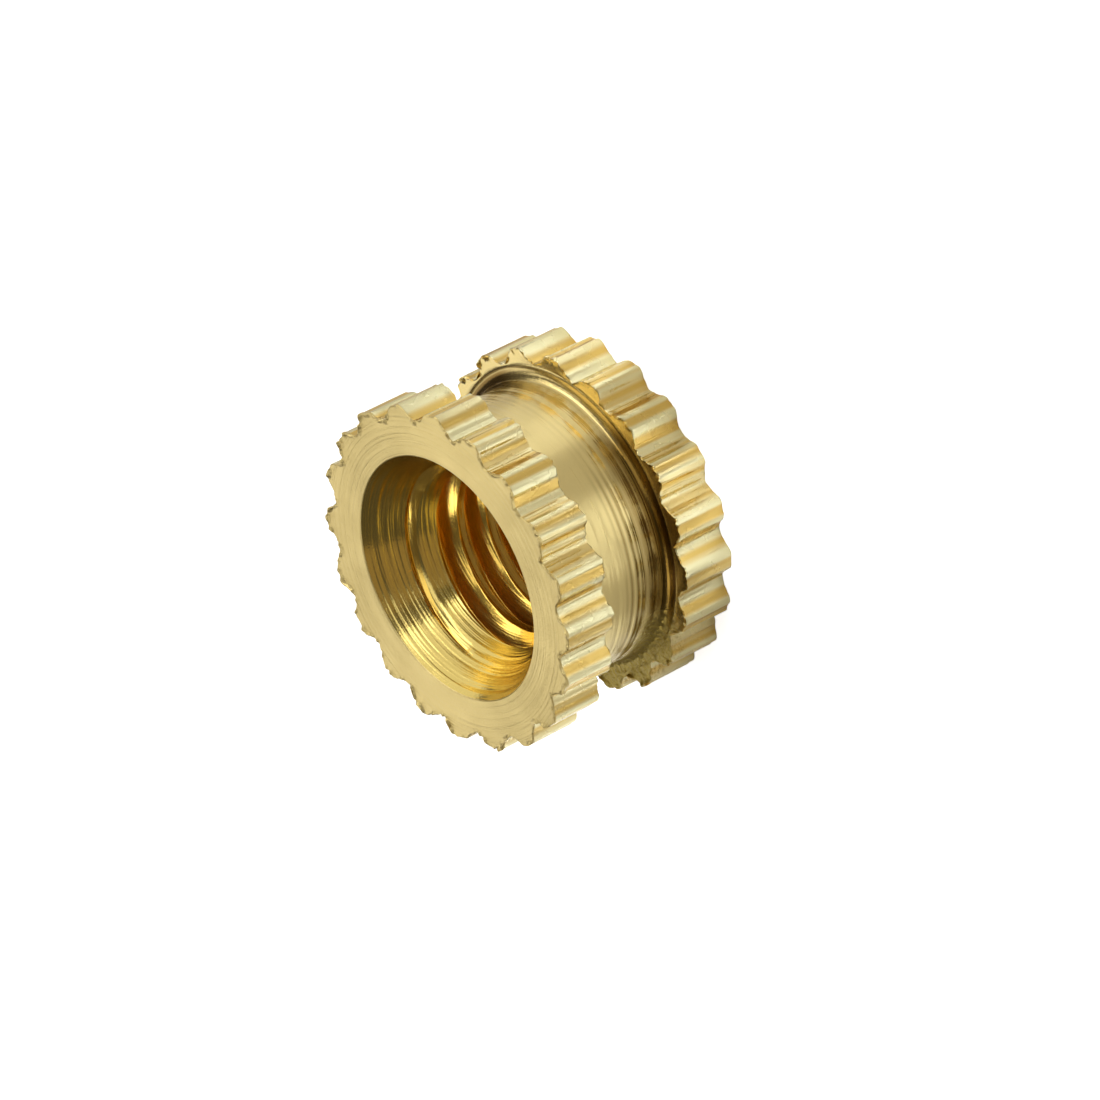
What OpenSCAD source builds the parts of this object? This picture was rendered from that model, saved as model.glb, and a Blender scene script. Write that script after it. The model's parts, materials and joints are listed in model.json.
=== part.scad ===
// Threaded insert for a moulded plastic part, turned from one bar of brass.
// Two collars with a straight knurl grip the plastic, and the plain neck
// between them keeps the insert from being pulled out.
// The lower end face lies on the XY plane with its centre at the origin, and
// the bore runs up along Z to the end with the large countersink. One tooth
// of the knurl points along +X. All sizes are in millimetres and degrees.

/* [Body] */
// Length from end face to end face
body_length = 2.95; // [2.4:0.05:8]
// Diameter over the tips of the teeth
tip_diameter = 5; // [4.8:0.05:6]

/* [Knurl] */
// Number of teeth round each collar
tooth_count = 20; // [16:1:24]
// Depth of a tooth from its tip to the root between two teeth
tooth_depth = 0.2; // [0.1:0.01:0.26]
// Radius of the round crest of a tooth
crest_radius = 0.24; // [0.12:0.01:0.3]
// Radius of the round root between two teeth
root_radius = 0.08; // [0.04:0.01:0.14]

/* [Neck] */
// Height of the upper collar
upper_collar = 0.8; // [0.5:0.05:1]
// Height of the lower collar
lower_collar = 0.8; // [0.5:0.05:1]
// Diameter of the plain neck between the collars
neck_diameter = 4.05; // [3.7:0.05:4.3]
// Radius in the corner where the neck meets a collar
corner_radius = 0.17; // [0.05:0.01:0.25]

/* [Bore] */
// Diameter of the bore, which is the crest diameter of an M3 x 0.5 thread
bore_diameter = 2.46; // [2.2:0.02:2.8]
// Diameter of the countersink at the upper end face
countersink_diameter = 3.56; // [3.2:0.02:4]
// Angle between opposite sides of the countersink
countersink_angle = 60; // [60:5:120]
// Diameter of the lead-in at the lower end face
lead_in_diameter = 3.1; // [2.9:0.02:3.6]
// Angle between opposite sides of the lead-in
lead_in_angle = 90; // [60:5:120]

/* [Hidden] */

// How far a cutting shape runs past the face that it cuts
overrun = 0.2;
$fn = 96;

tip_r = tip_diameter / 2;
root_r = tip_r - tooth_depth;
neck_r = neck_diameter / 2;
bore_r = bore_diameter / 2;
half_pitch = 180 / tooth_count;
neck_bottom = lower_collar;
neck_top = body_length - upper_collar;

// A flank is the straight line that touches both the crest circle of its
// tooth, on the inside of the metal, and the root circle next to it.
crest_centre = [tip_r - crest_radius, 0];
root_centre = (root_r + root_radius) * [cos(half_pitch), sin(half_pitch)];
centre_line = root_centre - crest_centre;
centre_angle = atan2(centre_line[1], centre_line[0]);
flank_normal = centre_angle - acos((crest_radius + root_radius) / norm(centre_line));
flank_top = crest_centre + crest_radius * [cos(flank_normal), sin(flank_normal)];
flank_foot = root_centre - root_radius * [cos(flank_normal), sin(flank_normal)];

function turned(point, angle) = [
    point[0] * cos(angle) - point[1] * sin(angle),
    point[0] * sin(angle) + point[1] * cos(angle)
];

function mirrored(point) = [point[0], -point[1]];

// Straight sides of all the teeth, with a corner at each root circle's centre
function tooth_sides() = [
    for (tooth = [0 : tooth_count - 1])
        for (point = [mirrored(flank_foot), mirrored(flank_top), flank_top, flank_foot, root_centre])
            turned(point, 2 * half_pitch * tooth)
];

// Cross-section of the knurled bar
module knurl_outline() {
    difference() {
        union() {
            polygon(tooth_sides());
            for (tooth = [0 : tooth_count - 1])
                rotate(2 * half_pitch * tooth)
                    translate(crest_centre)
                        circle(r = crest_radius);
        }
        for (tooth = [0 : tooth_count - 1])
            rotate(2 * half_pitch * tooth)
                translate(root_centre)
                    circle(r = root_radius);
    }
}

// What the grooving tool takes away round the neck, down to round corners
module neck_cut() {
    reach = tip_r + overrun - neck_r;
    rotate_extrude()
        translate([neck_r, 0]) {
            translate([0, neck_bottom + corner_radius])
                square([reach, neck_top - neck_bottom - 2 * corner_radius]);
            translate([corner_radius, neck_bottom])
                square([reach - corner_radius, neck_top - neck_bottom]);
            for (corner_z = [neck_bottom + corner_radius, neck_top - corner_radius])
                translate([corner_radius, corner_z])
                    circle(r = corner_radius);
        }
}

// The through bore with the countersink above it and the lead-in below it
module bore_cut() {
    sink_slope = tan(countersink_angle / 2);
    lead_slope = tan(lead_in_angle / 2);
    sink_r = countersink_diameter / 2;
    lead_r = lead_in_diameter / 2;
    sink_bottom = body_length - (sink_r - bore_r) / sink_slope;
    lead_top = (lead_r - bore_r) / lead_slope;
    rotate_extrude()
        polygon([
            [0, -overrun],
            [lead_r + overrun * lead_slope, -overrun],
            [bore_r, lead_top],
            [bore_r, sink_bottom],
            [sink_r + overrun * sink_slope, body_length + overrun],
            [0, body_length + overrun]
        ]);
}

module insert() {
    color([0.85, 0.73, 0.45])
        difference() {
            linear_extrude(height = body_length)
                knurl_outline();
            neck_cut();
            bore_cut();
        }
}

insert();
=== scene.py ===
"""The looks of a brass threaded insert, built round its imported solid.

One closed skin stands for the solid. It keeps the collars, neck, countersink
and bore at the same sizes and adds what the solid leaves out: the helical
thread, the burrs and ridges of the knurl, the lines left by the turning tool
and the torn metal in the groove. Lengths are in millimetres and angles in
radians, unless a name or a docstring says otherwise.
"""
import json
import math

import bpy
import numpy as np
from mathutils import Matrix, Vector


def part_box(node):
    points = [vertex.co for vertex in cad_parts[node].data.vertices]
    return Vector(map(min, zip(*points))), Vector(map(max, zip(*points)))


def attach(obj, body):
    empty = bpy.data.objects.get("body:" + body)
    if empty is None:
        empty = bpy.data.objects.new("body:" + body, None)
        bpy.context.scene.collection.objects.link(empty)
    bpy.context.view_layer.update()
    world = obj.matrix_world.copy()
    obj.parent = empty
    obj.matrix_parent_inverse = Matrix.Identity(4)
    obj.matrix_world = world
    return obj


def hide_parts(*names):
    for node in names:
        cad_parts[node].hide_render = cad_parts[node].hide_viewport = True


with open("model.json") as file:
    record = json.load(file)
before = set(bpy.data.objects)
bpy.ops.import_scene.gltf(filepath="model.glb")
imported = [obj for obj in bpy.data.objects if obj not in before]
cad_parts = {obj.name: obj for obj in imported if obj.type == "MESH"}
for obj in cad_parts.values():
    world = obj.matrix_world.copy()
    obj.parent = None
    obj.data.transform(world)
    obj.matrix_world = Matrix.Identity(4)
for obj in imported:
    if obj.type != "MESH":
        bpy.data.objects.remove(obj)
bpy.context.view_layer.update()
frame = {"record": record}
MM = 0.001

# Sizes that the frame gives. The first two and the centre are in metres.
LOWEST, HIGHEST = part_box("insert")
CENTRE = (LOWEST + HIGHEST) / 2
LENGTH = (HIGHEST.z - LOWEST.z) / MM
TIP_R = (HIGHEST.x - LOWEST.x) / MM / 2
THREAD_MOUNT = next(m for m in frame["record"]["mounts"] if m["name"] == "thread")
BORE_R = THREAD_MOUNT["dims"]["r_mm"]

# Sizes of the knurl and the neck, as in the solid
TEETH = 20
TOOTH_DEPTH = 0.2
CREST_RADIUS = 0.24
ROOT_RADIUS = 0.08
COLLAR = 0.8
NECK_R = 2.025
CORNER_RADIUS = 0.17
GROOVE_TOP = LENGTH - COLLAR
GROOVE_BOTTOM = COLLAR

# Sizes of the bore, as in the solid, and of the M3 thread cut in it
SINK_R = 1.78
SINK_SLOPE = math.tan(math.radians(30))
LEAD_R = 1.55
LEAD_SLOPE = math.tan(math.radians(45))
PITCH = 0.5
THREAD_R = 1.5
FLANK_SLOPE = math.tan(math.radians(60))
CREST_FLAT = PITCH / 4
THREAD_EDGE = 0.022
THREAD_PHASE = 0.05

# Rounding of the collars' edges and of the bore's rims, and heights of burrs
EDGE = 0.016
RIM = 0.012
FACE_BURR = 0.034
UPPER_GROOVE_BURR = 0.022
LOWER_GROOVE_BURR = 0.05

# Heights of the other marks that the tools left
RIDGE_HEIGHT = 0.026
COARSE_SCRATCH = 0.009
FINE_SCRATCH = 0.008
TOOTH_UNEVENNESS = 0.008
TOOTH_DRIFT = 0.003
KNURL_INSET = 0.004
WALL_RIDGE = 0.012
FOOT_RIDGE = 0.012
NECK_LINE_LEAST = 0.0035
NECK_LINE_MORE = 0.013
NECK_WANDER = 0.0006
TORN_DEPTH = 0.007
CREST_UNEVENNESS = 0.004

# Numbers of scratches round the knurl
SCRATCHES = 150
FINE_SCRATCHES = 300

# How dark the painted shade in the groove is, from 0 to 1, and the painted dark lines on the
# neck
UPPER_CORNER_SHADE = 0.8
LIT_SIDE_SHADE_CUT = 0.8
FOOT_SHADE = 0.8
RIDGE_SHADE = 0.4
WALL_SHADE = 0.1
LINE_SHADE = 0.75
LINE_SPACING = 0.095

# How finely the skin is divided round the axis, and up the neck
COLLAR_COLUMNS = 900
NECK_COLUMNS = 450
BORE_COLUMNS = 300
NECK_RINGS = 46
CORNER_STEPS = 6

FINISHES = ("turned_face", "knurl", "neck", "countersink", "thread")


def full_turn(columns):
    """Angles of the points of a ring, the first on +X."""
    return np.arange(columns) * 2 * math.pi / columns


def smooth_share(place):
    """Whole part and eased fraction of a place in a row of random values."""
    whole = np.floor(place).astype(int)
    share = place - whole
    return whole, share * share * (3 - 2 * share)


def ring_noise(angle, lumps, seed):
    """Smooth random values from -1 to 1, with that many lumps round the ring."""
    values = np.random.default_rng(seed).uniform(-1, 1, lumps)
    left, share = smooth_share(np.asarray(angle) / (2 * math.pi) * lumps)
    return values[left % lumps] * (1 - share) + values[(left + 1) % lumps] * share


def height_noise(height, lumps, seed):
    """Like ring_noise, but along the length of the insert."""
    return ring_noise(height / LENGTH * 2 * math.pi, lumps, seed)


def field_noise(angle, height, lumps, step, seed):
    """Like ring_noise, and with new values every step along the axis."""
    rows = int(LENGTH / step) + 4
    values = np.random.default_rng(seed).uniform(-1, 1, (rows, lumps))
    left, share = smooth_share(np.asarray(angle) / (2 * math.pi) * lumps)
    low, rise = smooth_share(np.asarray(height) / step + 1)
    low = np.clip(low, 0, rows - 2)
    here, ahead = left % lumps, (left + 1) % lumps
    below = values[low, here] * (1 - share) + values[low, ahead] * share
    above = values[low + 1, here] * (1 - share) + values[low + 1, ahead] * share
    return below * (1 - rise) + above * rise


def bump_between(value, start, end, soft):
    """1 between start and end, falling to 0 over soft on both sides."""
    rise = np.clip((value - start) / soft + 0.5, 0, 1)
    fall = np.clip((end - value) / soft + 0.5, 0, 1)
    return rise * rise * (3 - 2 * rise) * fall * fall * (3 - 2 * fall)


def arc_share(angle, start, end, soft):
    """bump_between for an arc round the axis, given in degrees."""
    return bump_between(angle, math.radians(start), math.radians(end), math.radians(soft))


def rounded_path(corners, radius, steps):
    """A path of straight lines with each inner corner turned into an arc."""
    path = [np.array(corners[0], float)]
    for before, corner, after in zip(corners, corners[1:], corners[2:]):
        back = np.subtract(before, corner)
        ahead = np.subtract(after, corner)
        back = back / np.linalg.norm(back)
        ahead = ahead / np.linalg.norm(ahead)
        half = math.acos(float(back @ ahead)) / 2
        middle = (back + ahead) / np.linalg.norm(back + ahead)
        centre = corner + middle * radius / math.sin(half)
        start = corner + back * radius / math.tan(half) - centre
        end = corner + ahead * radius / math.tan(half) - centre
        turn = math.pi - 2 * half
        for step in range(steps + 1):
            share = step / steps
            weight = math.sin((1 - share) * turn), math.sin(share * turn)
            path.append(centre + (weight[0] * start + weight[1] * end) / math.sin(turn))
    path.append(np.array(corners[-1], float))
    return path


def tooth_radius(angle):
    """Outline of the knurl: round crests and roots joined by straight flanks."""
    half_pitch = math.pi / TEETH
    fold = np.abs((angle + half_pitch) % (2 * half_pitch) - half_pitch)
    crest_x = TIP_R - CREST_RADIUS
    root_reach = TIP_R - TOOTH_DEPTH + ROOT_RADIUS
    root_x = root_reach * math.cos(half_pitch)
    root_y = root_reach * math.sin(half_pitch)
    gap = math.hypot(root_x - crest_x, root_y)
    lean = math.acos((CREST_RADIUS + ROOT_RADIUS) / gap)
    normal = math.atan2(root_y, root_x - crest_x) - lean
    top_x = crest_x + CREST_RADIUS * math.cos(normal)
    top_y = CREST_RADIUS * math.sin(normal)
    foot_x = root_x - ROOT_RADIUS * math.cos(normal)
    foot_y = root_y - ROOT_RADIUS * math.sin(normal)
    along = crest_x * np.cos(fold)
    crest = along + np.sqrt(np.maximum(along**2 - crest_x**2 + CREST_RADIUS**2, 0))
    along = root_x * np.cos(fold) + root_y * np.sin(fold)
    root = along - np.sqrt(np.maximum(along**2 - root_reach**2 + ROOT_RADIUS**2, 0))
    cross = top_x * (foot_y - top_y) - top_y * (foot_x - top_x)
    flank = cross / (np.cos(fold) * (foot_y - top_y) - np.sin(fold) * (foot_x - top_x))
    on_crest = fold < math.atan2(top_y, top_x)
    on_root = fold > math.atan2(foot_y, foot_x)
    return np.where(on_crest, crest, np.where(on_root, root, flank))


def hollow_share(angle):
    """0 on the ridges along the teeth and 1 in the hollows between them."""
    wave = 3 * TEETH * angle + 1.3 * ring_noise(angle, 2 * TEETH, 9)
    depth = 1 + 0.4 * ring_noise(angle, 3 * TEETH + 7, 10)
    return 0.5 + 0.52 * np.tanh(1.8 * np.cos(wave) * depth)


def knurl_radius(angle, height):
    """The outline with the ridges that the rolling tool left along the teeth."""
    sway = math.radians(0.6) * ring_noise(angle, TEETH, 3)
    radius = tooth_radius(angle + sway)
    ridges = RIDGE_HEIGHT * (0.5 - hollow_share(angle))
    coarse = COARSE_SCRATCH * ring_noise(angle, SCRATCHES, 5)
    scratches = coarse + FINE_SCRATCH * ring_noise(angle, FINE_SCRATCHES, 6)
    uneven = TOOTH_UNEVENNESS * ring_noise(angle, 2 * TEETH, 8)
    drift = TOOTH_DRIFT * field_noise(angle, height, SCRATCHES, 0.5, 7)
    return radius + ridges + scratches + uneven + drift - KNURL_INSET


def lumps_of_burr(angle, seed):
    """Uneven height of a burr from 0 to 1, more often low than high."""
    coarse = ring_noise(angle, 70, seed)
    fine = ring_noise(angle, 300, seed + 1)
    return np.clip(0.4 + 0.35 * coarse + 0.7 * fine, 0, 1) ** 1.3


def lit_side_share(angle):
    """1 on the brighter side, where the corner low in the groove gets less painted shade,
    falling to 0 around.
    """
    return arc_share(angle, 291, 350, 16)


def corner_shade(angle):
    """How much painted shade the groove's lower corner gets, from 0 to 1."""
    return 1 - LIT_SIDE_SHADE_CUT * lit_side_share(angle)


def torn_share(angle, height):
    """1 where the metal low in the groove is torn, falling to 0 around it."""
    return arc_share(angle, 150, 212, 20) * bump_between(height, 0.6, 1.1, 0.25)


def torn(angle, height, along):
    """Push and pull of the torn metal in millimetres, uneven along a length too."""
    coarse = 0.6 * field_noise(angle, along, 150, 0.08, 21)
    rough = coarse + 0.5 * field_noise(angle, along, 225, 0.05, 22)
    return torn_share(angle, height) * TORN_DEPTH * rough


class Skin:
    """Points and faces of one closed surface, gathered ring by ring."""

    def __init__(self):
        self.count = 0
        self.points = []
        self.painted_shade = []
        self.faces = []
        self.finish = []

    def add(self, radius, angle, height, painted_shade=0.0):
        """New points in rows of any shape. Returns their numbers in that shape."""
        radius, angle, height, painted_shade = np.broadcast_arrays(radius, angle, height, painted_shade)
        places = np.stack([radius * np.cos(angle), radius * np.sin(angle), height], -1)
        self.points.append(places.reshape(-1, 3))
        self.painted_shade.append(painted_shade.reshape(-1))
        numbers = self.count + np.arange(radius.size).reshape(radius.shape)
        self.count += radius.size
        return numbers

    def face(self, corners, finish):
        """One face, without the corners that fall together."""
        kept = [c for i, c in enumerate(corners) if c != corners[i - 1]]
        if len(set(kept)) >= 3:
            self.faces.append(kept)
            self.finish.append(FINISHES.index(finish))

    def band(self, first, second, finish):
        """Joins two rings. One may have a whole number of times the other's points."""
        first, second = list(first), list(second)
        fine, coarse = max(len(first), len(second)), min(len(first), len(second))
        ratio = fine // coarse
        for i in range(coarse):
            j = (i + 1) % coarse
            if ratio == 1:
                self.face([first[i], second[i], second[j], first[j]], finish)
                continue
            steps = [(i * ratio + step) % fine for step in range(ratio + 1)]
            for step, (here, ahead) in enumerate(zip(steps, steps[1:])):
                near = i if step < (ratio + 1) // 2 else j
                if len(first) > len(second):
                    self.face([first[here], second[near], first[ahead]], finish)
                else:
                    self.face([first[near], second[here], second[ahead]], finish)
            middle = steps[(ratio + 1) // 2]
            if len(first) > len(second):
                self.face([first[middle], second[i], second[j]], finish)
            else:
                self.face([first[i], second[middle], first[j]], finish)

    def bands(self, rings, finish):
        """Joins a row of rings, each to the next."""
        for first, second in zip(rings, rings[1:]):
            self.band(first, second, finish)


def edge_rings(skin, height, side, burr, seed):
    """Three rings that round the edge between a collar's face and its teeth.

    side is 1 where the face looks up and -1 where it looks down. The burr
    stands proud of the face and, by less, of the teeth.
    """
    angle = full_turn(COLLAR_COLUMNS)
    lump = burr * lumps_of_burr(angle, seed)
    outline = knurl_radius(angle, height)
    eased = 0.3 * EDGE
    inner = skin.add(outline - EDGE, angle, height + side * lump)
    middle = skin.add(outline - eased + 0.5 * lump, angle, height + side * (lump - eased))
    outer = skin.add(outline + 0.4 * lump, angle, height - side * EDGE)
    return [inner, middle, outer]


def collar_sides(skin, top, bottom):
    """Rings down the teeth between the rounded edges of one collar."""
    angle = full_turn(COLLAR_COLUMNS)
    heights = np.linspace(top - 3 * EDGE, bottom + 3 * EDGE, 8)
    return [skin.add(knurl_radius(angle, height), angle, height) for height in heights]


def end_face(skin, height, inner_radius):
    """Rings of an end face, from the bore out to the foot of the teeth's burrs."""
    inner_angle = full_turn(BORE_COLUMNS)
    outer_angle = full_turn(COLLAR_COLUMNS)
    outline = knurl_radius(outer_angle, height)
    rings = [skin.add(inner_radius + step, inner_angle, height) for step in (0.0, 0.03, 0.12)]
    for share in (0.35, 0.65, 0.88):
        radius = inner_radius * (1 - share) + (outline - EDGE) * share
        rings.append(skin.add(radius, outer_angle, height))
    rings.append(skin.add(outline - 3 * EDGE, outer_angle, height))
    return rings


def groove_wall(skin, height, side):
    """Rings of a collar's inner face, from the corner radius out to the teeth.

    side is 1 where the wall looks up and -1 where it looks down.
    """
    inner_angle = full_turn(NECK_COLUMNS)
    outer_angle = full_turn(COLLAR_COLUMNS)
    corner = NECK_R + CORNER_RADIUS
    ridge_foot = 0.075
    # Painted shade on the wall: darkest at the corner, less on the ridge, least further out,
    # and less on the brighter side
    rings = [skin.add(corner, inner_angle, height, corner_shade(inner_angle))]
    outline = knurl_radius(outer_angle, height)
    unlit_share = 1 - lit_side_share(outer_angle)
    for step, ridge in ((0.03, 0.0), (0.05, WALL_RIDGE), (ridge_foot, 0.0)):
        rough = torn(outer_angle, height, corner + step)
        level = height + side * (ridge + rough)
        rings.append(skin.add(corner + step, outer_angle, level, RIDGE_SHADE * unlit_share))
    for share in (0.25, 0.5, 0.75):
        radius = (corner + ridge_foot) * (1 - share) + (outline - EDGE) * share
        rough = torn(outer_angle, height, radius)
        rings.append(skin.add(radius, outer_angle, height + side * rough, WALL_SHADE * unlit_share))
    return rings


def neck_radius(angle, height):
    """The turned neck, with the ridges that the grooving tool left round it."""
    low = np.clip((GROOVE_TOP - height) / (GROOVE_TOP - GROOVE_BOTTOM), 0, 1)
    lines = 0.55 * height_noise(height, 34, 11) + 0.45 * height_noise(height, 61, 12)
    wander = NECK_WANDER * field_noise(angle, height, 14, 0.12, 13)
    return NECK_R + (NECK_LINE_LEAST + NECK_LINE_MORE * low**2) * lines + wander


def neck_shade(angle, height):
    """How dark the neck is painted: painted shade near its foot, and painted dark reflection
    lines above it, strongest on one side.
    """
    foot = FOOT_SHADE * bump_between(height, 0.0, 1.15, 0.2) * corner_shade(angle)
    lined = 0.2 + 0.8 * arc_share(angle, 205, 278, 20)
    wave = 2 * math.pi * height / LINE_SPACING + 2.5 * height_noise(height, 14, 16)
    stripe = np.clip(0.45 + 0.9 * np.cos(wave), 0, 1) * bump_between(height, 0.9, 1.48, 0.25)
    return np.maximum(foot, LINE_SHADE * lined * stripe)


def corner_offsets(turn):
    """Distance of a point on a corner radius from the neck and from the wall."""
    return CORNER_RADIUS * (1 - math.sin(turn)), CORNER_RADIUS * (1 - math.cos(turn))


def neck_rings(skin):
    """Rings from the upper collar's corner radius down to the lower one's."""
    angle = full_turn(NECK_COLUMNS)
    turns = [step / CORNER_STEPS * math.pi / 2 for step in range(1, CORNER_STEPS)]
    rings = []
    for turn in turns:
        out, down = corner_offsets(turn)
        # Painted shade in the upper corner
        rings.append(skin.add(NECK_R + out, angle, GROOVE_TOP - down, UPPER_CORNER_SHADE))
    top = GROOVE_TOP - CORNER_RADIUS
    bottom = GROOVE_BOTTOM + CORNER_RADIUS
    for height in np.linspace(top, bottom, NECK_RINGS):
        radius = neck_radius(angle, height) + torn(angle, height, height)
        rings.append(skin.add(radius, angle, height, neck_shade(angle, height)))
    for turn in reversed(turns):
        out, up = corner_offsets(turn)
        height = GROOVE_BOTTOM + up
        raised = FOOT_RIDGE if turn == turns[-1] else 0.0
        radius = NECK_R + out + raised + torn(angle, height, height)
        # Painted shade in the lower corner, less on the brighter side
        rings.append(skin.add(radius, angle, height, corner_shade(angle)))
    return rings


def thread_turn():
    """Height above the crest's middle and radius, along one turn of the thread."""
    flank = (THREAD_R - BORE_R) / FLANK_SLOPE
    half_crest = CREST_FLAT / 2
    corners = [
        (0.0, BORE_R),
        (half_crest, BORE_R),
        (half_crest + flank, THREAD_R),
        (PITCH - half_crest - flank, THREAD_R),
        (PITCH - half_crest, BORE_R),
        (PITCH, BORE_R),
    ]
    path = rounded_path(corners, THREAD_EDGE, 2)
    # One more point halfway along each flank, the later flank first
    first_flank, second_flank = 4, 10
    for place in (second_flank, first_flank):
        path.insert(place, (path[place - 1] + path[place]) / 2)
    return np.array(path[:-1])


def bore_limit(height):
    """Radius that the countersink and the lead-in have cut away to."""
    sink = SINK_R - (LENGTH - height) * SINK_SLOPE
    lead = LEAD_R - height * LEAD_SLOPE
    return np.maximum(sink, lead)


def bore_surface(skin, top_ring, bottom_ring, top, bottom):
    """The thread, cut short by the countersink and the lead-in.

    Each column of points follows the helix, so after a whole turn it meets the
    first column one pitch higher. A point that a cone has cut away moves to
    where the flank next to it meets the cone, or else straight out to the cone.
    """
    turn = thread_turn()
    per_turn = len(turn)
    spare = 2
    turns = int(LENGTH / PITCH) + 2 * spare
    angle = full_turn(BORE_COLUMNS)[:, None]
    start = THREAD_PHASE - spare * PITCH
    height = np.concatenate([turn[:, 0] + start + PITCH * i for i in range(turns)])[None, :]
    height = height + PITCH * angle / (2 * math.pi)
    radius = np.tile(turn[:, 1], turns)[None, :] + 0 * height
    uneven = CREST_UNEVENNESS * field_noise(angle, np.clip(height, 0, LENGTH), 40, 0.1, 31)
    near_crest = radius < BORE_R + 0.05
    radius = radius + uneven * near_crest
    proud = radius - bore_limit(height)
    cut = proud < 0
    new_height, new_radius = height.copy(), radius.copy()
    for step in (1, -1):
        beside = np.roll(proud, -step, 1)
        crossing = cut & (beside > 0)
        share = np.where(crossing, -proud / np.where(crossing, beside - proud, 1), 0)
        new_height = new_height + share * (np.roll(height, -step, 1) - height)
        new_radius = new_radius + share * (np.roll(radius, -step, 1) - radius)
    new_radius = np.maximum(new_radius, bore_limit(new_height))
    inside = (new_height > bottom) & (new_height < top)
    numbers = skin.add(new_radius, angle, np.clip(new_height, 0, LENGTH), 0.0)
    beyond = np.where(new_height >= top, top_ring[:, None], bottom_ring[:, None])
    numbers = np.where(inside, numbers, beyond)
    on_cone = cut & (new_height > LENGTH / 2)
    rows = numbers.shape[1]
    for column in range(BORE_COLUMNS):
        last = column == BORE_COLUMNS - 1
        ahead = 0 if last else column + 1
        lift = per_turn if last else 0
        for row in range(rows - 1 - lift):
            corners = [
                numbers[column, row],
                numbers[column, row + 1],
                numbers[ahead, row + 1 + lift],
                numbers[ahead, row + lift],
            ]
            sunk = on_cone[column, row] and on_cone[column, row + 1]
            skin.face([int(c) for c in corners], "countersink" if sunk else "thread")


def build_skin():
    """The whole surface, from the rim of the countersink round to itself."""
    skin = Skin()
    bore_angle = full_turn(BORE_COLUMNS)
    top = LENGTH - RIM
    top_ring = skin.add(bore_limit(top), bore_angle, top)
    bottom = RIM
    bottom_ring = skin.add(bore_limit(bottom), bore_angle, bottom)

    rim_middle = skin.add(bore_limit(LENGTH) + 0.001, bore_angle, LENGTH - 0.3 * RIM)
    upper_face = end_face(skin, LENGTH, bore_limit(LENGTH) + RIM)
    skin.bands([top_ring, rim_middle, *upper_face], "turned_face")
    upper_edge = edge_rings(skin, LENGTH, 1, FACE_BURR, 41)
    skin.bands([upper_face[-1], *upper_edge], "turned_face")
    upper_sides = collar_sides(skin, LENGTH, GROOVE_TOP)
    groove_edge = edge_rings(skin, GROOVE_TOP, -1, UPPER_GROOVE_BURR, 43)
    skin.bands([upper_edge[-1], *upper_sides, *reversed(groove_edge)], "knurl")
    upper_wall = groove_wall(skin, GROOVE_TOP, -1)
    skin.bands([groove_edge[0], *reversed(upper_wall)], "neck")

    neck = neck_rings(skin)
    lower_wall = groove_wall(skin, GROOVE_BOTTOM, 1)
    skin.bands([upper_wall[0], *neck, *lower_wall], "neck")

    inner_edge = edge_rings(skin, GROOVE_BOTTOM, 1, LOWER_GROOVE_BURR, 45)
    skin.band(lower_wall[-1], inner_edge[0], "neck")
    lower_sides = collar_sides(skin, GROOVE_BOTTOM, 0.0)
    lower_edge = edge_rings(skin, 0.0, -1, 0.0, 47)
    skin.bands([*inner_edge, *lower_sides, *reversed(lower_edge)], "knurl")
    lower_face = end_face(skin, 0.0, bore_limit(0.0) + RIM)
    rim_bottom = skin.add(bore_limit(0.0) + 0.001, bore_angle, 0.3 * RIM)
    skin.bands([lower_edge[0], *reversed(lower_face), rim_bottom, bottom_ring], "turned_face")
    bore_surface(skin, top_ring, bottom_ring, top, bottom)
    return skin


def drop_spare_points(skin):
    """Points, painted shade values and faces without the points that no face uses."""
    used = np.unique(np.concatenate([np.array(f) for f in skin.faces]))
    renumber = np.full(skin.count, -1)
    renumber[used] = np.arange(len(used))
    points = np.concatenate(skin.points)[used]
    painted_shade = np.concatenate(skin.painted_shade)[used]
    faces = [[int(renumber[c]) for c in face] for face in skin.faces]
    return points, painted_shade, faces


def link(tree, source, target):
    """Joins an output to an input."""
    tree.links.new(source, target)


def feed(tree, sockets, values):
    """Gives each input a number, or joins it to an output."""
    for socket, value in zip(sockets, values):
        if isinstance(value, (int, float)):
            socket.default_value = value
        else:
            link(tree, value, socket)


def math_node(tree, operation, first, second):
    """A Math node of two inputs, each a number or an output. Returns its output."""
    made = tree.nodes.new("ShaderNodeMath")
    made.operation = operation
    feed(tree, made.inputs, (first, second))
    return made.outputs[0]


def scaled(tree, value, factor):
    """An output times a number."""
    return math_node(tree, "MULTIPLY", value, factor)


def noise(tree, vector, scale, detail):
    """A Noise Texture on a vector. Returns its value from 0 to 1."""
    made = tree.nodes.new("ShaderNodeTexNoise")
    made.inputs["Scale"].default_value = scale
    made.inputs["Detail"].default_value = detail
    link(tree, vector, made.inputs["Vector"])
    return made.outputs["Fac"]


def combine(tree, x, y, z):
    """A vector from three numbers or outputs."""
    made = tree.nodes.new("ShaderNodeCombineXYZ")
    feed(tree, made.inputs, (x, y, z))
    return made.outputs[0]


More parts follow.
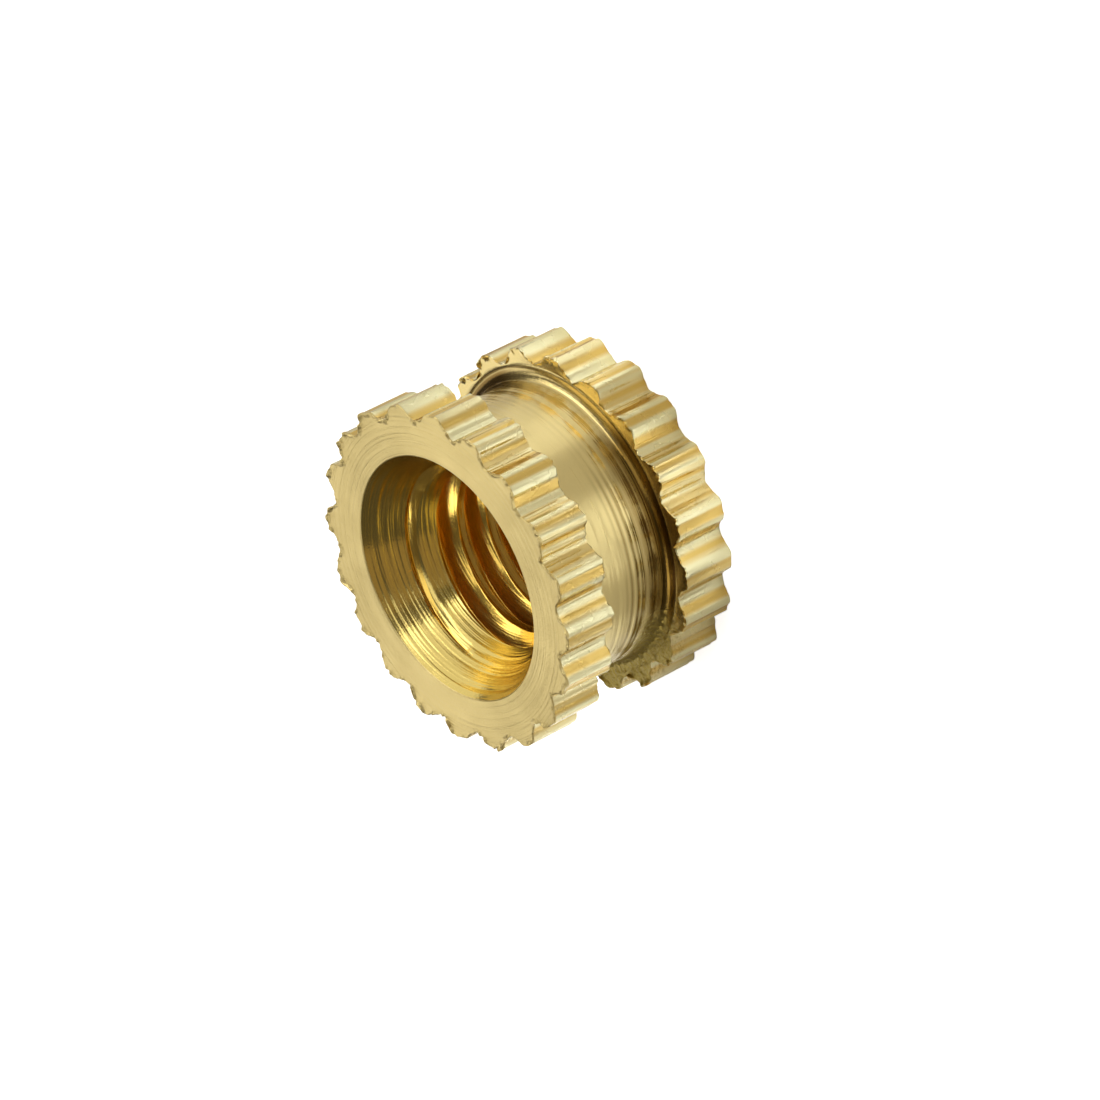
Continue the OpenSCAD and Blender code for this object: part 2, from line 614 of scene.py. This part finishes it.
def polar_place(tree):
    """Distance from the axis, height, and cosine and sine of the angle."""
    place = tree.nodes.new("ShaderNodeTexCoord")
    in_mm = tree.nodes.new("ShaderNodeVectorMath")
    in_mm.operation = "SCALE"
    in_mm.inputs["Scale"].default_value = 1 / MM
    link(tree, place.outputs["Object"], in_mm.inputs[0])
    apart = tree.nodes.new("ShaderNodeSeparateXYZ")
    link(tree, in_mm.outputs[0], apart.inputs[0])
    x, y, z = apart.outputs
    squares = [math_node(tree, "MULTIPLY", side, side) for side in (x, y)]
    distance = math_node(tree, "SQRT", math_node(tree, "ADD", *squares), 0.0)
    cosine = math_node(tree, "DIVIDE", x, distance)
    sine = math_node(tree, "DIVIDE", y, distance)
    return distance, z, cosine, sine


BRASS = (0.68, 0.54, 0.225)
# Deeper, more orange copies of the brass for the countersink and the thread: painted reflected
# light, for light bounced between the walls of the bore
SINK_BOUNCE_BRASS = (0.70, 0.54, 0.17)
THREAD_BOUNCE_BRASS = (0.86, 0.57, 0.12)
# Painted shade colour for the groove's corners and the lines on the neck
PAINTED_SHADE_BRASS = (0.20, 0.12, 0.025)
TORN_BRASS = (0.48, 0.37, 0.10)
KNURL_BRASS = (0.83, 0.76, 0.43)
# Painted shade colour for the hollows between the ridges of the knurl
HOLLOW_SHADE_BRASS = (0.70, 0.48, 0.13)

# How many grains, torn crumbs and blotches there are in a metre
GRAINS = 24 / MM
CRUMBS = 15 / MM
BLOTCHES = 2.2 / MM
CRUMB_DEPTH = 0.045
TORN_ROUGHNESS = 0.25


def painted_share(tree, name):
    """The share from 0 to 1 stored on the mesh under that name."""
    share = tree.nodes.new("ShaderNodeAttribute")
    share.attribute_name = name
    return share.outputs["Fac"]


def tool_marks(tree, lines):
    """A vector that changes fast across the tool marks and slowly along them."""
    distance, height, cosine, sine = polar_place(tree)
    if lines == "round":
        across, along = 2.4, 0.03
        return combine(tree, scaled(tree, cosine, across), scaled(tree, sine, across),
                       scaled(tree, height, along))
    across = distance if lines == "out" else height
    wander = 0.02
    return combine(tree, across, scaled(tree, cosine, wander), scaled(tree, sine, wander))


def brass_finish(name, colour, lines, line_scale, line_depth, roughness, anisotropy):
    """Brass with tool marks.

    lines says which way the marks are spaced: out from the axis, up the axis,
    or round it.
    """
    material = bpy.data.materials.new(name)
    material.use_nodes = True
    tree = material.node_tree
    shader = tree.nodes["Principled BSDF"]
    shader.inputs["Metallic"].default_value = 1.0
    shader.inputs["Anisotropic"].default_value = anisotropy
    marks = tool_marks(tree, lines)
    coarse = noise(tree, marks, line_scale, 2.0)
    fine = noise(tree, marks, line_scale * 2.7, 1.0)
    relief = math_node(tree, "ADD", scaled(tree, coarse, 0.7), scaled(tree, fine, 0.3))
    torn_place = painted_share(tree, "torn")
    place = tree.nodes.new("ShaderNodeTexCoord").outputs["Object"]
    grain_depth = 0.03 * roughness**2
    grain = scaled(tree, noise(tree, place, GRAINS, 1.0), grain_depth / line_depth)
    crumbs = scaled(tree, noise(tree, place, CRUMBS, 2.0), CRUMB_DEPTH / line_depth)
    relief = math_node(tree, "ADD", relief, grain)
    relief = math_node(tree, "ADD", relief, math_node(tree, "MULTIPLY", crumbs, torn_place))
    bump = tree.nodes.new("ShaderNodeBump")
    bump.inputs["Strength"].default_value = 1.0
    bump.inputs["Distance"].default_value = line_depth * MM
    link(tree, relief, bump.inputs["Height"])
    link(tree, bump.outputs[0], shader.inputs["Normal"])

    if anisotropy > 0:
        tangent = tree.nodes.new("ShaderNodeTangent")
        tangent.direction_type = "RADIAL"
        tangent.axis = "Z"
        shader.inputs["Anisotropic Rotation"].default_value = 0.25
        link(tree, tangent.outputs[0], shader.inputs["Tangent"])

    rough = tree.nodes.new("ShaderNodeMapRange")
    rough.inputs["To Min"].default_value = roughness * 0.75
    rough.inputs["To Max"].default_value = roughness * 1.25
    link(tree, noise(tree, place, BLOTCHES, 4.0), rough.inputs["Value"])
    torn_rough = scaled(tree, torn_place, TORN_ROUGHNESS)
    rougher = math_node(tree, "ADD", rough.outputs[0], torn_rough)
    link(tree, rougher, shader.inputs["Roughness"])

    shade = tree.nodes.new("ShaderNodeRGB")
    shade.outputs[0].default_value = (*colour, 1)
    base = shade.outputs[0]
    # Darker colours mixed in by shares stored on the mesh: painted shade, torn metal, and
    # painted shade in the knurl's hollows
    darker = {"painted_shade": PAINTED_SHADE_BRASS, "torn": TORN_BRASS}
    if lines == "round":
        darker = {"hollow_shade_and_streaks": HOLLOW_SHADE_BRASS}
    for share_name, dark in darker.items():
        mix = tree.nodes.new("ShaderNodeMix")
        mix.data_type = "RGBA"
        link(tree, base, mix.inputs["A"])
        mix.inputs["B"].default_value = (*dark, 1)
        link(tree, painted_share(tree, share_name), mix.inputs["Factor"])
        base = mix.outputs["Result"]
    link(tree, base, shader.inputs["Base Color"])
    return material


def make_insert(skin):
    """The insert's mesh, in metres, with a finish for each part of its surface."""
    points, painted_shade, faces = drop_spare_points(skin)
    mesh = bpy.data.meshes.new("insert_body")
    mesh.from_pydata((points * MM).tolist(), [], faces)
    mesh.polygons.foreach_set("material_index", skin.finish)
    angle = np.arctan2(points[:, 1], points[:, 0]) % (2 * math.pi)
    streaks = 0.3 * ring_noise(angle, SCRATCHES, 14)
    streaks = streaks + 0.5 * ring_noise(angle, FINE_SCRATCHES, 15)
    # Shares stored on the mesh: painted shade, painted shade in the knurl's hollows with random
    # streaks, and where the metal is torn
    shares = {
        "painted_shade": painted_shade,
        "hollow_shade_and_streaks": np.clip(hollow_share(angle) + streaks, 0, 1),
        "torn": torn_share(angle, points[:, 2]),
    }
    for name, share in shares.items():
        painted = mesh.attributes.new(name, "FLOAT", "POINT")
        painted.data.foreach_set("value", share.astype(np.float32))
    mesh.shade_smooth()
    mesh.set_sharp_from_angle(angle=math.radians(55))
    mesh.validate()
    body = bpy.data.objects.new("insert_body", mesh)
    bpy.context.scene.collection.objects.link(body)
    finishes = {
        "turned_face": brass_finish("turned_face", BRASS, "out", 21, 0.018, 0.42, 0.6),
        "knurl": brass_finish("knurl", KNURL_BRASS, "round", 9, 0.05, 0.27, 0.0),
        "neck": brass_finish("neck", BRASS, "up", 15, 0.014, 0.22, 0.3),
        "countersink": brass_finish("countersink", SINK_BOUNCE_BRASS, "out", 16, 0.03, 0.22, 0.3),
        "thread": brass_finish("thread", THREAD_BOUNCE_BRASS, "up", 16, 0.012, 0.2, 0.0),
    }
    for name in FINISHES:
        mesh.materials.append(finishes[name])
    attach(body, "root")
    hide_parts("insert")


# Light. Azimuths and elevations are in degrees, and levels are brightness.
WARM = (1.0, 0.70, 0.34)
COOL = (0.90, 0.97, 1.12)
WORLD_COLOUR = (1.0, 0.86, 0.62)
WORLD_LEVEL = 0.1
SOFTBOX_DISTANCE = 300
POOL_LAMP_DISTANCE = 90
POOL_LAMP_ELEVATION = 76
FLOOR_COLOUR = (0.9, 0.9, 0.9)
FLOOR_GLOW_TO_CAMERA = 0.75
FLOOR_GLOW_IN_METAL = 0.02


def direction(azimuth, elevation):
    """Unit vector towards a place round the part, both in degrees."""
    across = math.cos(math.radians(elevation))
    return Vector((
        across * math.cos(math.radians(azimuth)),
        across * math.sin(math.radians(azimuth)),
        math.sin(math.radians(elevation)),
    ))


def place_lamp(name, lamp, location, towards):
    """Puts a lamp into the scene, shining against the direction towards."""
    placed = bpy.data.objects.new(name, lamp)
    placed.location = location
    placed.rotation_euler = towards.to_track_quat("Z", "Y").to_euler()
    bpy.context.scene.collection.objects.link(placed)


def softbox(name, azimuth, elevation, width, height, level, colour=(1.0, 1.0, 1.0)):
    """A flat lamp that faces the part. level is the brightness of its surface."""
    lamp = bpy.data.lights.new(name, "AREA")
    lamp.shape = "RECTANGLE"
    lamp.size = width * MM
    lamp.size_y = height * MM
    lamp.energy = 4 * lamp.size * lamp.size_y * level
    lamp.color = colour
    towards = direction(azimuth, elevation)
    place_lamp(name, lamp, CENTRE + towards * SOFTBOX_DISTANCE * MM, towards)


def pool(name, azimuth, reach, radius, level):
    """A small round pool of light on the floor, which the upright walls mirror.

    It lies at reach from the axis. level is how bright white paper is in it.
    """
    distance = POOL_LAMP_DISTANCE * MM
    lamp = bpy.data.lights.new(name, "SPOT")
    lamp.spot_size = 2 * math.atan(radius * MM / distance)
    lamp.spot_blend = 0.7
    lamp.shadow_soft_size = 0.3 * MM
    lamp.energy = 4 * math.pi**2 * distance**2 * level
    lamp.color = COOL
    towards = direction(azimuth, POOL_LAMP_ELEVATION)
    place_lamp(name, lamp, direction(azimuth, 0) * reach * MM + towards * distance, towards)


def make_light():
    """Large soft lamps round the part, and pools of light on the floor."""
    world = bpy.data.worlds.new("studio")
    world.use_nodes = True
    studio = world.node_tree.nodes["Background"]
    studio.inputs["Color"].default_value = (*WORLD_COLOUR, 1)
    studio.inputs["Strength"].default_value = WORLD_LEVEL
    bpy.context.scene.world = world
    softbox("tent_left", 90, 34, 140, 330, 1.03)
    softbox("tent_top", 345, 22, 600, 230, 0.75)
    softbox("tent_over", 285, 58, 150, 200, 0.9)
    softbox("key_top", 30, 64, 60, 60, 3)
    softbox("tent_front", 245, 22, 330, 160, 0.2, WARM)
    softbox("tent_high", 345, 46, 480, 80, 2.2)
    softbox("key_rim", 160, 56, 110, 80, 2.4)
    softbox("key_side", 58, 44, 50, 70, 1.6)
    pool("pool_236_2.9", 236, 2.9, 0.85, 0.45)
    pool("pool_236_5.7", 236, 5.7, 1.8, 0.75)
    for azimuth, near, far in ((260, 0.6, 0.65), (322, 0.5, 0.48), (346, 0.1, 0.3)):
        for reach, level in ((3.0, near), (4.1, far), (5.6, far)):
            pool("pool_%d_%g" % (azimuth, reach), azimuth, reach, 0.32 * reach, level)
    pool("pool_140", 140, 5.0, 2.4, 1.0)
    pool("pool_175", 175, 5.6, 2.4, 0.7)


def make_floor():
    """A plain pale floor, white to the camera.

    In the metal it shows almost only as bright as the lamps light it.
    """
    reach = 900 * MM
    gap = 0.002 * MM
    mesh = bpy.data.meshes.new("floor")
    corners = [(-reach, -reach, 0), (reach, -reach, 0), (reach, reach, 0), (-reach, reach, 0)]
    mesh.from_pydata(corners, [], [(0, 1, 2, 3)])
    floor = bpy.data.objects.new("floor", mesh)
    floor.location.z = LOWEST.z - gap
    bpy.context.scene.collection.objects.link(floor)
    material = bpy.data.materials.new("floor")
    material.use_nodes = True
    tree = material.node_tree
    tree.nodes.clear()
    rays = tree.nodes.new("ShaderNodeLightPath").outputs
    mirrored = math_node(tree, "MAXIMUM", rays["Is Glossy Ray"], rays["Is Transmission Ray"])
    to_camera = scaled(tree, rays["Is Camera Ray"], FLOOR_GLOW_TO_CAMERA)
    in_metal = scaled(tree, mirrored, FLOOR_GLOW_IN_METAL)
    paint = tree.nodes.new("ShaderNodeBsdfDiffuse")
    paint.inputs["Color"].default_value = (*FLOOR_COLOUR, 1)
    glow = tree.nodes.new("ShaderNodeEmission")
    glow.inputs["Color"].default_value = (1, 1, 1, 1)
    link(tree, math_node(tree, "MAXIMUM", to_camera, in_metal), glow.inputs["Strength"])
    both = tree.nodes.new("ShaderNodeAddShader")
    link(tree, paint.outputs[0], both.inputs[0])
    link(tree, glow.outputs[0], both.inputs[1])
    out = tree.nodes.new("ShaderNodeOutputMaterial")
    link(tree, both.outputs[0], out.inputs["Surface"])
    mesh.materials.append(material)


def make_camera():
    """The photograph's view: along -Y and down, and rolled about the line of sight."""
    elevation = math.radians(33.368)
    roll = math.radians(116.461)
    back = Vector((0, -math.cos(elevation), math.sin(elevation)))
    right = Vector((1, 0, 0))
    up = back.cross(right)
    rolled_right = math.cos(roll) * right - math.sin(roll) * up
    rolled_up = math.sin(roll) * right + math.cos(roll) * up
    image_width = 1100
    pixels_per_mm = 184.409 / 2.5
    centre_pixel = (528.26, 538.18)
    distance = 100
    aside = (centre_pixel[0] - image_width / 2) / pixels_per_mm
    above = (image_width / 2 - centre_pixel[1]) / pixels_per_mm
    place = distance * back - aside * rolled_right - above * rolled_up
    camera_data = bpy.data.cameras.new("camera")
    camera_data.sensor_width = 36
    camera_data.lens = pixels_per_mm * distance * camera_data.sensor_width / image_width
    camera_data.clip_start = 0.001
    camera = bpy.data.objects.new("camera", camera_data)
    turned = Matrix((rolled_right, rolled_up, back)).transposed().to_4x4()
    camera.matrix_world = Matrix.Translation(CENTRE + place * MM) @ turned
    bpy.context.scene.collection.objects.link(camera)
    bpy.context.scene.camera = camera


make_camera()
make_light()
make_floor()
make_insert(build_skin())

bpy.context.scene.view_settings.view_transform = "Standard"
